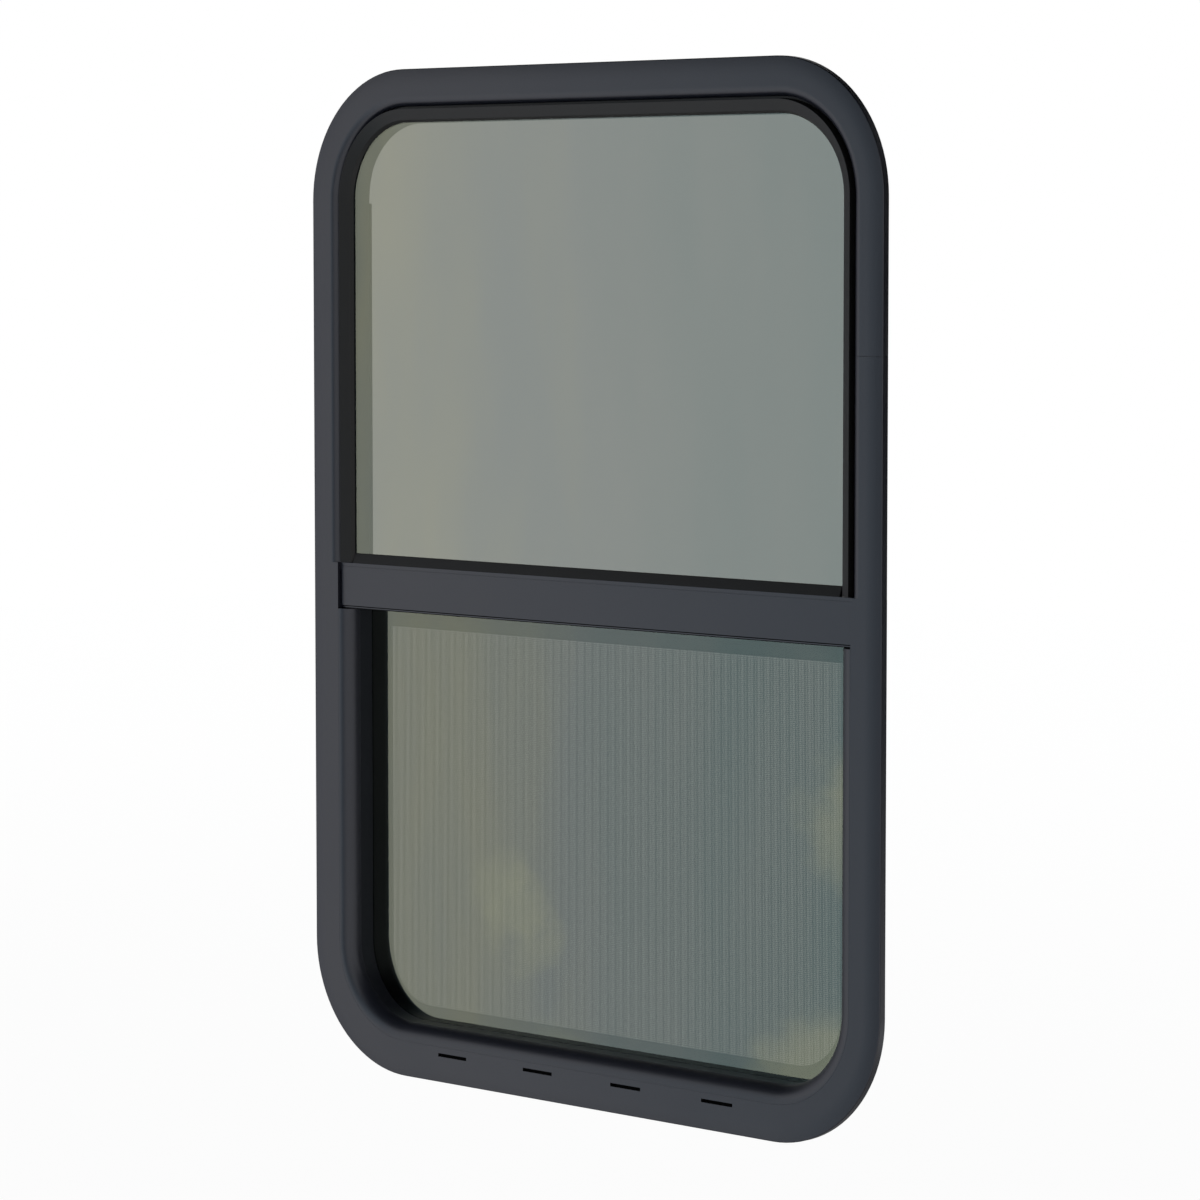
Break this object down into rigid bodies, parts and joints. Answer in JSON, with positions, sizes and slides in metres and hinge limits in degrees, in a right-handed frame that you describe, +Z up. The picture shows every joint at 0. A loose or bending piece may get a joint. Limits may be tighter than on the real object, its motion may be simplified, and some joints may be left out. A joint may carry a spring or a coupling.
{
  "type": "caravan window",
  "caption": "Black vertical sliding caravan window with rounded corners, dark glass in a bent aluminium frame and an insect screen inside the lower half.",
  "frame": {"origin": "on the back of the flange lip at the middle of the window's bottom edge, in the plane of the wall's outer skin", "axes": "+Z up the window, +Y from the wall's outer skin into the caravan, -Y outwards, +X to the right seen from outside"},
  "size_m": [0.584, 0.0397, 0.787],
  "materials": {
    "frame_black": "satin black powder coat on aluminium",
    "screen_black": "satin black paint on roll-formed aluminium",
    "tinted_glass": "dark grey tinted toughened glass",
    "bead_rubber": "black extruded rubber",
    "foam": "closed-cell black foam",
    "black_plastic": "matt black plastic",
    "pile": "black brush pile",
    "insect_mesh": "charcoal woven insect mesh"
  },
  "bodies": {
    "root": {"outer_frame": "frame_black", "lower_reveal": "frame_black", "wall_seal": "foam", "meeting_rail": "frame_black", "rail_end_left": "black_plastic", "rail_end_right": "black_plastic", "rail_pile": "pile", "upper_glass": "tinted_glass", "upper_bead": "bead_rubber", "sill_bead": "bead_rubber", "bedding_tape": "foam", "lower_glass": "tinted_glass", "sash_top_rail": "frame_black", "sash_latch_left": "black_plastic", "sash_latch_right": "black_plastic", "sash_track_left": "black_plastic", "sash_track_right": "black_plastic", "sash_stop_left": "bead_rubber", "sash_stop_right": "bead_rubber", "sash_sill_seal": "bead_rubber", "screen_frame": "screen_black", "screen_mesh": "insect_mesh", "screen_spline": "bead_rubber", "screen_track_left": "black_plastic", "screen_track_right": "black_plastic", "screen_tab_left": "black_plastic", "screen_tab_right": "black_plastic"}
  },
  "joints": []
}
